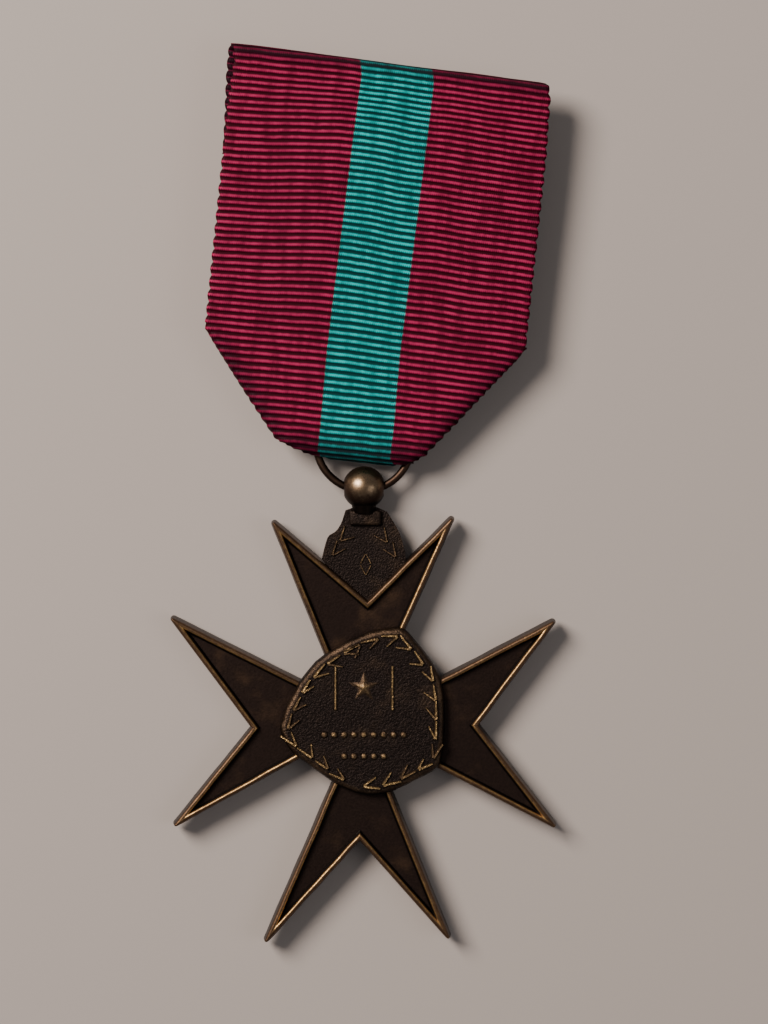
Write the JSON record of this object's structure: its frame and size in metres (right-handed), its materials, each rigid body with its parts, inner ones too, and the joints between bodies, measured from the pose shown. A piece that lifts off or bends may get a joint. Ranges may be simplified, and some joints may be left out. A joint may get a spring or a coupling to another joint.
{
  "type": "service medal",
  "caption": "Eight-pointed bronze service cross with a wreathed medallion, hung by ball and ring from a tapered crimson and green ribbon with a pin brooch.",
  "frame": {"origin": "middle of the footprint of the medal lying face up, on the surface that it lies on", "axes": "+Z out of the medal's face, +Y from the cross towards the ribbon's top, +X to the right as the face is seen"},
  "size_m": [0.0456, 0.1046, 0.0062],
  "materials": {
    "bronze": "dark antique bronze, its raised edges rubbed to a dull gold",
    "worn_bronze": "antique bronze rubbed bright on top, satin",
    "ribbon_cloth": "ribbed grosgrain, crimson with a green centre stripe",
    "stiffener_card": "stiff buckram card",
    "pin_steel": "nickelled steel, dulled by age",
    "sewing_thread": "twisted polyester thread"
  },
  "bodies": {
    "ribbon": {"ribbon_front": "ribbon_cloth", "ribbon_flap_left": "ribbon_cloth", "ribbon_flap_right": "ribbon_cloth", "ribbon_loop": "ribbon_cloth", "ribbon_back": "ribbon_cloth", "ribbon_top_fold": "ribbon_cloth", "stiffener": "stiffener_card", "brooch_bar": "pin_steel", "hinge_bracket": "pin_steel", "hinge_rivet": "pin_steel", "catch_hook": "pin_steel", "stitch_far_left": "sewing_thread", "stitch_left": "sewing_thread", "stitch_right": "sewing_thread", "stitch_far_right": "sewing_thread"},
    "pin": {"pin_stem": "pin_steel"},
    "ring": {"suspension_ring": "worn_bronze"},
    "cross": {"cross_body": "bronze", "medallion": "bronze", "medallion_rivet_left": "worn_bronze", "medallion_rivet_right": "worn_bronze", "suspender_tab": "bronze", "suspension_ball": "worn_bronze"}
  },
  "joints": [
    {"name": "pin_hinge", "type": "hinge", "parent": "ribbon", "child": "pin", "pos_m": [-0.01093, 0.04419, 0.00083], "axis": [0.1045, 0.994, 0.0332], "range_deg": [0, 100]},
    {"name": "ring_slide_round", "type": "hinge", "parent": "ribbon", "child": "ring", "pos_m": [-0.00026, 0.00604, 0.00251], "axis": [0, 0, 1], "range_deg": [-28, 16]},
    {"name": "cross_swing", "type": "hinge", "parent": "ring", "child": "cross", "pos_m": [-0.00026, 0.00079, 0.00251], "axis": [1, 0, 0], "range_deg": [-110, 110]}
  ]
}
